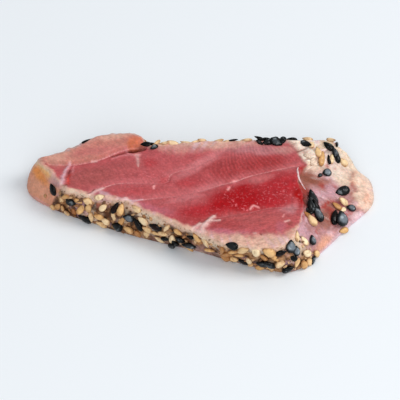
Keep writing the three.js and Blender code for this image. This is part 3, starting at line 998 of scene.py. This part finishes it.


# black seeds given one by one: station, share of the height (over 1 in over the cut face), turn in degrees,
# length and width in millimetres, shade from brown-black 0 over black 0.2 to grey 1, the grey a painted
# reflection, height above the crust
blackByHand = np.array([
    (1.7, 0.67, 129, 3.4, 2.4, 0.2, 0), (2.5, 0.57, 12, 3.3, 2.1, 0.5, 0.1),
    (2.88, 0.15, 173, 4, 2.5, 0.3, 0.1), (3.84, 0.73, 68, 3.7, 1.6, 0, 0.1),
    (3.88, 0.22, 175, 3.1, 2.7, 0.4, 0.1), (4.24, 0.55, 178, 3.2, 2.2, 0.9, 0),
    (4.52, 0.47, 132, 4, 1.9, 0.2, 0.2), (5.02, 0.62, 171, 3.5, 2, 0, 0),
    (5.28, 0.31, 2, 2.6, 1.4, 0.2, 0.1), (5.64, 0.47, 136, 2.8, 2.1, 0.3, 0.2),
    (5.86, 0.34, 155, 4.2, 2.4, 0.6, 0.3), (5.46, 0.12, 70, 3.5, 2.1, 0.3, 0.9),
    (5.9, 0.67, 168, 1.9, 1.4, 0, 0), (6.98, 0.96, 178, 3.3, 2.2, 0.5, 0.1),
    (7.1, 0.21, 146, 3.2, 2.3, 0, 0), (7.5, 0.39, 152, 3.4, 2.3, 0.3, 0.1),
    (7.66, 0.4, 133, 3.7, 2.4, 0.6, 0.3), (8.44, 0.8, 66, 3.4, 2.8, 1, 0.3),
    (8.06, 0.76, 9, 2.8, 1.8, 0.1, 0), (8.3, 0.48, 136, 2.4, 1.7, 0.2, 0),
    (8, 0.19, 19, 3.2, 2.3, 0.5, 0.1), (8.76, 0.05, 10, 2.8, 2.1, 0.7, 0.1),
    (9.16, 0.47, 55, 2.7, 2.2, 0.9, 0), (8.52, 0.61, 69, 2.7, 1.9, 1, 0),
    (10.42, 0.75, 26, 4.9, 3.1, 0.5, 0.35), (10.13, 0.78, 20, 4.2, 2.8, 0.4, 0.1),
    (10.01, 0.62, 53, 4.6, 2.5, 0.7, 0.35), (10.22, 0.68, 60, 4, 2.4, 0.1, 0),
    (9.94, 0.8, 45, 3, 1.8, 0.1, 0), (11.03, 0.4, 136, 4.3, 2.7, 0.5, 0.2),
    (10.64, 0.24, 130, 2.9, 2, 0.8, 0.1), (10.16, 0.35, 20, 4.3, 2.3, 0.1, 0.1),
    (10.2, 0.27, 60, 4.1, 4.8, 1, 0.6), (11.42, 0.65, 150, 2.9, 2.3, 1, 0),
    (11.28, 0.7, 168, 1.7, 1.1, 0.6, 0), (12.54, 1.02, 103, 3.4, 2.1, 0.2, 0),
    (12.4, 0.92, 110, 2.4, 1.4, 0.4, 0), (12.3, 0.76, 97, 3.5, 1.9, 0.6, 0.1),
    (12.14, 0.63, 50, 2.8, 1.6, 0.3, 0.1), (12.72, 0.93, 125, 2.5, 1.5, 0.3, 0),
    (11.9, 0.74, 37, 3.1, 1.1, 0.1, 0), (13.19, 1.09, 150, 3.8, 1.9, 0.4, 0),
    (13.74, 1, 10, 3, 1.8, 0.1, 0.3), (13.66, 1, 172, 2.8, 1.9, 0.3, 0.25),
    (13.54, 1.06, 154, 3.6, 2.4, 0.6, 0.1), (13.69, 1.04, 138, 2.4, 1.1, 0.1, 0),
    (13.5, 1.03, 60, 2.6, 1.9, 0.3, 0.2), (13.58, 1.03, 15, 3.2, 2.2, 0.6, 0.2),
    (13.6, 0.9, 165, 3.2, 2, 0.2, 0.3), (13.46, 0.88, 20, 3, 2, 0.2, 0.3),
    (13.72, 0.85, 30, 3, 2, 0.3, 0.2), (13.62, 1.05, 20, 3, 1.9, 0.4, 0),
    (14.02, 1, 168, 2.8, 1.3, 0.2, 0), (16.2, 1.02, 46, 2.9, 1.6, 0.2, 0),
    (15.76, 1.04, 37, 2.4, 1.5, 0.6, 0), (15.95, 0.9, 160, 3, 1.6, 0.2, 0.1),
    (18.4, 1.03, 178, 3.2, 1.3, 0.2, -0.1), (5.53, 0.3, 105, 3, 2, 0.2, 0.5),
])

# pale seeds given one by one, the same way: their shade says how toasted they are, from 0 to 1
paleByHand = np.array([
    (2.12, 0.25, 61, 3.4, 1.6, 0.75, 0), (2.28, 0.28, 78, 3, 1.4, 0.65, 0),
    (2.4, 0.19, 83, 3.4, 1.8, 0.35, 0.1), (2.58, 0.27, 87, 3.6, 1.6, 1, 0),
    (2.8, 0.45, 63, 3.4, 1.8, 0.5, 0), (3, 0.8, 153, 2.9, 2.2, 0.3, 0.1),
    (3.06, 0.58, 73, 3.5, 1.9, 0.45, 0.1), (3.34, 0.39, 157, 2.9, 1.9, 0.5, 0),
    (3.5, 0.69, 47, 2.8, 1.7, 0.1, 0), (3.34, 0.12, 168, 3.4, 2, 0.35, 0),
    (3.52, 0.28, 152, 2.7, 1.8, 0.15, 0), (4, 0.71, 83, 3.5, 1.9, 0.45, 0.2),
    (4.2, 0.22, 170, 3.2, 2.2, 0.45, 0), (4.68, 0.67, 176, 3.7, 1.9, 0.05, 0.1),
    (4.78, 0.42, 162, 3, 2, 0.35, 0), (5.1, 0.16, 147, 3.2, 1.7, 0.15, 0),
    (5.22, 0.45, 9, 3.1, 1.4, 0.3, 0), (5.46, 0.39, 84, 3.6, 1.9, 0.1, 0.1),
    (5.62, 0.76, 2, 2.8, 1.7, 0.5, 0), (6.08, 0.76, 133, 3.2, 1.8, 0.55, 0),
    (6.34, 0.73, 5, 3.9, 1.7, 0.15, 0.1), (6.7, 0.27, 125, 3.9, 2.3, 0.85, 0),
    (6.94, 0.28, 34, 2.5, 2.2, 0.4, 0.1), (7.22, 0.82, 33, 3.8, 1.9, 0.3, 0.1),
    (7.46, 0.82, 147, 2.7, 2.2, 0, 0), (7.76, 0.86, 155, 3.6, 2.5, 0.45, 0.2),
    (7.88, 0.39, 27, 2.9, 2.5, 0.2, 0.1), (7.42, 0.04, 15, 2.7, 1.8, 0.55, 0),
    (8.84, 0.86, 33, 3.1, 1.6, 0.2, 0), (8.74, 0.37, 129, 3.2, 2, 0, 0.1),
    (8.46, 0.13, 110, 3.6, 2, 0.65, 0), (8.62, 0.06, 118, 3.3, 1.9, 0.35, 0.1),
    (7.26, 0.42, 97, 3.8, 1.5, 0.1, 0), (8.98, 0.16, 120, 3.1, 1.8, 0.35, 0),
    (8.96, 0.6, 86, 3.1, 1.6, 0, 0), (9.76, 0.82, 69, 2.3, 1.5, 0.9, 0),
    (9.66, 0.7, 74, 3.6, 2.2, 0.25, 0.1), (10.7, 0.36, 111, 3.8, 2.2, 0.15, 0.2),
    (10.5, 0.4, 81, 3, 1.6, 0.8, 0), (10.48, 0.31, 155, 2.1, 1.3, 0, 0.1),
    (9.98, 0.09, 157, 2.9, 1.7, 0.55, 0.1), (11.84, 0.85, 36, 4.6, 1.9, 0.6, 0.1),
    (11.98, 0.71, 18, 3.1, 1.6, 0.1, 0), (12.12, 0.5, 77, 2.8, 2.2, 0.2, 0),
    (12.05, 1.02, 60, 3.2, 1.7, 0.35, 0), (12.95, 0.98, 150, 3, 1.8, 0.1, 0.2),
    (13.05, 1.12, 120, 2.8, 1.7, 0.15, 0), (13.3, 1, 20, 3, 1.8, 0.1, 0.2),
    (3.35, 1, 20, 2.8, 1.7, 0.05, 0), (4.45, 0.92, 150, 3, 1.8, 0.2, 0),
])

# places left free of scattered seeds: station, height share, half sizes
freeSpots = [(6.3, 0.22, 0.44, 0.28), (3.33, 0.76, 0.14, 0.12), (1.9, 0.8, 0.3, 0.3), (18, 0.95, 1.5, 0.3)]

# scattered pieces: how many darts, least distance in millimetres, lowest and highest height share, and
# the share of the darts that stays, by station
blackScatter = {
    "darts": 900, "spacing": 4.2, "heights": (0.06, 0.75),
    "stay": [(0, 0), (13.6, 0), (13.7, 0.5), (16, 0.5), (18.5, 0.4), (19.5, 0.1), (19.7, 0)],
}
paleScatter = {
    "darts": 7000, "spacing": 1.95, "heights": (0.03, 0.82),
    "stay": [(0, 0), (1.9, 0), (2.05, 0.4), (8.7, 0.4), (8.8, 0.02), (9.2, 0), (13.2, 0), (13.5, 0.9),
             (16, 0.9), (16.5, 0.5), (19, 0.5), (19.3, 0.02), (19.5, 0), (20, 0)],
}
rimScatter = {
    "darts": 2600, "spacing": 1.7, "heights": (0.9, 1.8),
    "stay": [(0, 0), (13.2, 0), (13.4, 0.5), (13.8, 1), (16, 1), (16.3, 0), (20, 0)],
}


def scatter(taken, seedNumber, darts, spacing, heights, stay):
    # darts thrown at the wall, kept where the share allows and nothing lies closer than the spacing
    rng = np.random.default_rng(seedNumber)
    where = rng.uniform(0, stationCount, darts)
    row = rng.uniform(2 + heights[0], 2 + heights[1], darts)
    keep = rng.random(darts) < np.interp(where, *zip(*stay))
    for spot in freeSpots:
        keep &= patch(where, row - 2, *spot) < 0.5
    where, row = where[keep], row[keep]
    places = placesOf(where, row)
    kept, chosen = list(taken), []
    for k in range(len(where)):
        if np.min(np.linalg.norm(np.array(kept) - places[k], axis=1)) > spacing:
            kept.append(places[k])
            chosen.append(k)
    return where[chosen], row[chosen]


def placesOf(where, row):
    return sliceSurface(where, row)[0]


def handPlaces(hand):
    return placesOf(hand[:, 0], rowAt(hand[:, 1]))


def handAnd(hand, *columns):
    # seeds given one by one followed by the scattered ones, which sink into the crust or stand out of it
    hand = hand.T.copy()
    hand[1], hand[2] = rowAt(hand[1]), np.radians(hand[2])
    sunk = np.random.default_rng(8).uniform(*sesame["sunk"], len(columns[0]))
    return np.concatenate([hand, [*columns, sunk]], axis=1)


def blackSeeds():
    rng = np.random.default_rng(5)
    where, row = scatter(handPlaces(blackByHand), 81, **blackScatter)
    count = len(where)
    turn = rng.uniform(0, math.pi, count)
    length = sesame["length"] * rng.uniform(0.95, 1.15, count)
    width = sesame["width"] * rng.uniform(0.8, 1.1, count)
    # the last argument gives each scattered seed some of the painted grey reflection
    seeds = handAnd(blackByHand, where, row, turn, length, width, rng.uniform(0.1, 0.6, count))
    return makeSeeds("sesame_black", *seeds, 91), placesOf(seeds[0], seeds[1])


def paleSeeds(taken):
    # seeds all over the wall, and lighter ones lying lengthways along the far rim
    rng = np.random.default_rng(6)
    taken = np.concatenate([taken, handPlaces(paleByHand)])
    where, row = scatter(taken, 82, **paleScatter)
    taken = np.concatenate([taken, placesOf(where, row)])
    rimWhere, rimRow = scatter(taken, 84, **rimScatter)
    where, row = np.concatenate([where, rimWhere]), np.concatenate([row, rimRow])
    count, onRim = len(where), len(rimWhere)
    tint = rng.beta(1.5, 1.5, count)
    turn = rng.uniform(0, 2 * math.pi, count)
    tint[-onRim:] *= 0.25
    turn[-onRim:] = rng.normal(0, 0.4, onRim)
    length = sesame["length"] * rng.uniform(0.8, 1.1, count)
    width = sesame["width"] * rng.uniform(0.6, 0.85, count)
    seeds = handAnd(paleByHand, where, row, turn, length, width, tint)
    return makeSeeds("sesame_pale", *seeds, 92), placesOf(seeds[0], seeds[1])


blackPiece, blackPlaces = blackSeeds()
palePiece, palePlaces = paleSeeds(blackPlaces)
print("seeds:", len(blackPlaces), "black and", len(palePlaces), "pale")

crumb = {
    "size": (0.45, 1.3), "shape": ((0.9, 0.6, 0.35), (1.3, 1.0, 0.6)), "lean": 0.4, "rise": 0.05,
    "rings": 5, "around": 7, "rough": 0.45, "roughSize": 0.6, "lumpRough": 0.15,
    "ramp": [(0.0, (232, 206, 184)), (0.1, (222, 186, 142)), (0.45, (172, 116, 68)), (1.0, (58, 30, 16))],
    "clouds": {"Scale": 2.4, "Detail": 3.0, "Dark": 0.75, "Light": 1.2},
    "spots": {"Scale": 3.0, "Start": 0.6, "Fleck": colourOf((96, 52, 26)), "Amount": 0.6},
}

crumbScatter = {
    "darts": 2200, "spacing": 0.95, "heights": (0.02, 0.92),
    "stay": [(0, 0), (1.9, 0.01), (2.1, 1), (8.8, 1), (9, 0), (13.2, 0), (13.4, 1), (19.2, 0.9),
             (19.6, 0)],
}

# lumps of white tissue near the far right corner: station, share of the height, size in millimetres
lumps = np.array([(12.10, 1.16, 2.0), (11.62, 0.95, 2.0)])


def makeCrumbs():
    # each crumb is a ball of unit size, flattened onto the wall and pushed in and out by rough noise
    rng = np.random.default_rng(7)
    where, row = scatter(blackPlaces, 83, **crumbScatter)
    where, row = np.concatenate([where, lumps[:, 0]]), np.concatenate([row, rowAt(lumps[:, 1])])
    count = len(where)
    polar = np.linspace(0, math.pi, crumb["rings"] + 1)
    polar, turn = np.meshgrid(polar, turnsOf(crumb["around"]), indexing="ij")
    ball = 0.5 * np.stack([np.cos(polar), np.sin(polar) * np.cos(turn), np.sin(polar) * np.sin(turn)], -1)
    size = rng.uniform(*crumb["size"], count)
    tint = rng.uniform(0.1, 1, count)
    size[-len(lumps):], tint[-len(lumps):] = lumps[:, 2], 0
    size = size[:, None] * rng.uniform(*crumb["shape"], (count, 3))
    lean = rng.normal(0, crumb["lean"], (count, 2))
    turn, rise = rng.uniform(0, math.pi, count), np.full(count, crumb["rise"])
    points = setOnWall(ball, where, row, turn, lean, size, rise)
    middle = points.mean(axis=(1, 2), keepdims=True)
    ragged = crumb["rough"] * roughNoise(points, crumb["roughSize"], 87, 2)
    ragged[-len(lumps):] *= crumb["lumpRough"]
    points = middle + (points - middle) * (1 + ragged)[..., None]
    points[..., 2] = np.maximum(points[..., 2], floorGap / 2)
    points[:, [0, -1]] = points[:, [0, -1]].mean(axis=2, keepdims=True)
    tint = np.broadcast_to(tint[:, None, None], points.shape[:3])
    faces = copiedFaces(crumb["rings"] + 1, crumb["around"], count)
    return addMesh("crust_crumbs", points, faces, 1e-4, {"tint": tint}), count


crumbPiece, crumbCount = makeCrumbs()
print("crumbs:", crumbCount)

# white thread of tissue on the face's right edge: path in plan, width and height in millimetres
thread = {
    "path": [(24.4, 9.2), (24.5, 7.4), (25.4, 5.2), (27.3, 2.8)], "width": 0.5, "height": 0.4,
    "stepsPerMm": 2.2, "around": 8, "wander": 0.1, "colour": (236, 208, 208),
    "clouds": {"Scale": 1.3, "Detail": 2.0, "Dark": 0.85, "Light": 1.06},
    "spots": {"Scale": 1.8, "Start": 0.58, "Fleck": colourOf((206, 120, 120)), "Amount": 0.6},
    "shader": {"Roughness": 0.32, "Subsurface Weight": 0.2, "Subsurface Radius": (0.8, 0.4, 0.3),
               "Subsurface Scale": mm},
}


def drape(spots):
    # height of the slice's outer surface under each place in plan: the highest of its few nearest points
    flat = outerPoints.reshape(-1, 3)
    away = np.linalg.norm(flat[None, :, :2] - spots[:, None, :], axis=-1)
    closest = np.argsort(away, axis=1)[:, :4]
    return flat[closest, 2].max(axis=1)


def makeThread():
    # an ellipse carried along the path, tapering as sin at both ends and lying on the surface below
    path = np.array(thread["path"])
    length = np.linalg.norm(np.diff(path, axis=0), axis=1).sum()
    steps = int(length * thread["stepsPerMm"])
    share = np.linspace(0, 1, steps)
    spots = through(path, share * (len(path) - 1), closed=False)
    along = flatPlaces(share * length, np.zeros(steps))
    ahead = unit(np.gradient(spots, axis=0))
    sideways = np.stack([-ahead[:, 1], ahead[:, 0]], -1)
    spots = spots + sideways * (thread["wander"] * roughNoise(along, 1.4, 89, 2))[:, None]
    height = np.convolve(np.pad(drape(spots), 1, "edge"), (0.25, 0.5, 0.25), "valid")
    taper = np.sin(math.pi * share).clip(0) ** 0.6 * (1 + 0.15 * latticeNoise(along + 5, 0.8, 90))
    turn = turnsOf(thread["around"])
    offset = np.cos(turn)[None] * (taper * thread["width"] / 2)[:, None]
    lift = np.sin(turn)[None] * (taper * thread["height"] / 2)[:, None] + height[:, None] + 0.02
    points = np.concatenate([spots[:, None] + sideways[:, None] * offset[..., None], lift[..., None]], -1)
    return addMesh("white_threads", points, ringFaces(steps, thread["around"])[:, ::-1], 1e-3)


threadPiece = makeThread()
print("thread:", len(threadPiece.data.vertices), "vertices")

seedLooks = {
    "pale_sesame": {
        "ramp": [(0.0, (244, 220, 180)), (0.5, (226, 178, 116)), (1.0, (160, 98, 46))],
        # the darker brown edge of pale seeds is partly toasting and partly painted shade
        "edge": (150, 88, 40), "edgeRange": (0.6, 1.05), "edgeAmount": 0.6, "tip": (112, 62, 28),
        "fleck": (150, 88, 40), "fleckAmount": 0.35, "fleckFromTint": 0.0, "roughness": 0.4,
        "shader": {"Specular IOR Level": 0.25, "Coat Weight": 0.16, "Coat Roughness": 0.12},
    },
    "black_sesame": {
        # on black seeds the grey end of the ramp is a painted reflection in the middle, held off the black
        # edge, and the light flecks are painted glints
        "ramp": [(0.0, (26, 8, 4)), (0.2, (6, 6, 6)), (0.5, (30, 32, 34)), (1.0, (112, 120, 128))],
        "edge": (2, 2, 3), "edgeRange": (0.4, 0.8), "edgeAmount": 0.97, "tip": (3, 3, 3),
        "fleck": (188, 198, 204), "fleckAmount": 0.0, "fleckFromTint": 0.55, "roughness": 0.26,
        "shader": {"Specular IOR Level": 0.1, "Coat Weight": 0.1, "Coat Roughness": 0.12},
    },
}
seedClouds = {"Scale": 1.1, "Detail": 2.0, "Dark": 0.84, "Light": 1.12}


def seedMaterial(name):
    # hull tinted seed by seed, darker at its edge and pointed tip, with small stains; on pale seeds the
    # dark edge is partly toasting and partly painted shade, on black seeds the grey tint is a painted
    # reflection and the light stains are painted glints
    look = seedLooks[name]
    material, tree, shader = newMaterial(name)
    tint = attribute(tree, "tint")
    stainAndGlintAmount = sums(tree, "ADD", times(tree, tint, look["fleckFromTint"]), look["fleckAmount"])
    stainsAndGlints = {"Scale": 0.9, "Start": 0.56, "Fleck": colourOf(look["fleck"]), "Amount": stainAndGlintAmount}
    colour, height = speckled(tree, rampOf(tree, tint, look["ramp"]), placeInMm(tree), seedClouds, stainsAndGlints)
    edge = mapTo(tree, attribute(tree, "rim"), *look["edgeRange"], 0.0, look["edgeAmount"], smooth=True)
    colour = mixColour(tree, edge, colour, colourOf(look["edge"]))
    tip = mapTo(tree, attribute(tree, "along"), 0.84, 1.0, 0.0, 0.7, smooth=True)
    rough = look["roughness"]
    wire(tree, shader, {
        "Base Color": mixColour(tree, tip, colour, colourOf(look["tip"])),
        "Roughness": mapTo(tree, height, 0.3, 0.7, rough + 0.08, rough - 0.08),
        "Normal": bumped(tree, height, 0.6, 0.15), **look["shader"]})
    return material


def crumbMaterial():
    material, tree, shader = newMaterial("browned_crumb")
    tint = rampOf(tree, attribute(tree, "tint"), crumb["ramp"])
    colour, height = speckled(tree, tint, placeInMm(tree), crumb["clouds"], crumb["spots"])
    wire(tree, shader, {"Base Color": colour, "Normal": bumped(tree, height, 0.7, 0.15), "Roughness": 0.6})
    return material


def threadMaterial():
    material, tree, shader = newMaterial("white_tissue")
    base = colourOf(thread["colour"])
    colour, height = speckled(tree, base, placeInMm(tree), thread["clouds"], thread["spots"])
    wire(tree, shader, {"Base Color": colour, "Normal": bumped(tree, height, 0.4, 0.1), **thread["shader"]})
    return material


palePiece.data.materials.append(seedMaterial("pale_sesame"))
blackPiece.data.materials.append(seedMaterial("black_sesame"))
crumbPiece.data.materials.append(crumbMaterial())
threadPiece.data.materials.append(threadMaterial())
for piece, slot in ((blackPiece, "sesame_black"), (palePiece, "sesame_pale"),
                    (crumbPiece, "seared_crumb"), (threadPiece, "tuna_flesh")):
    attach(piece, "root")
print("seeds, crumbs and thread are painted")
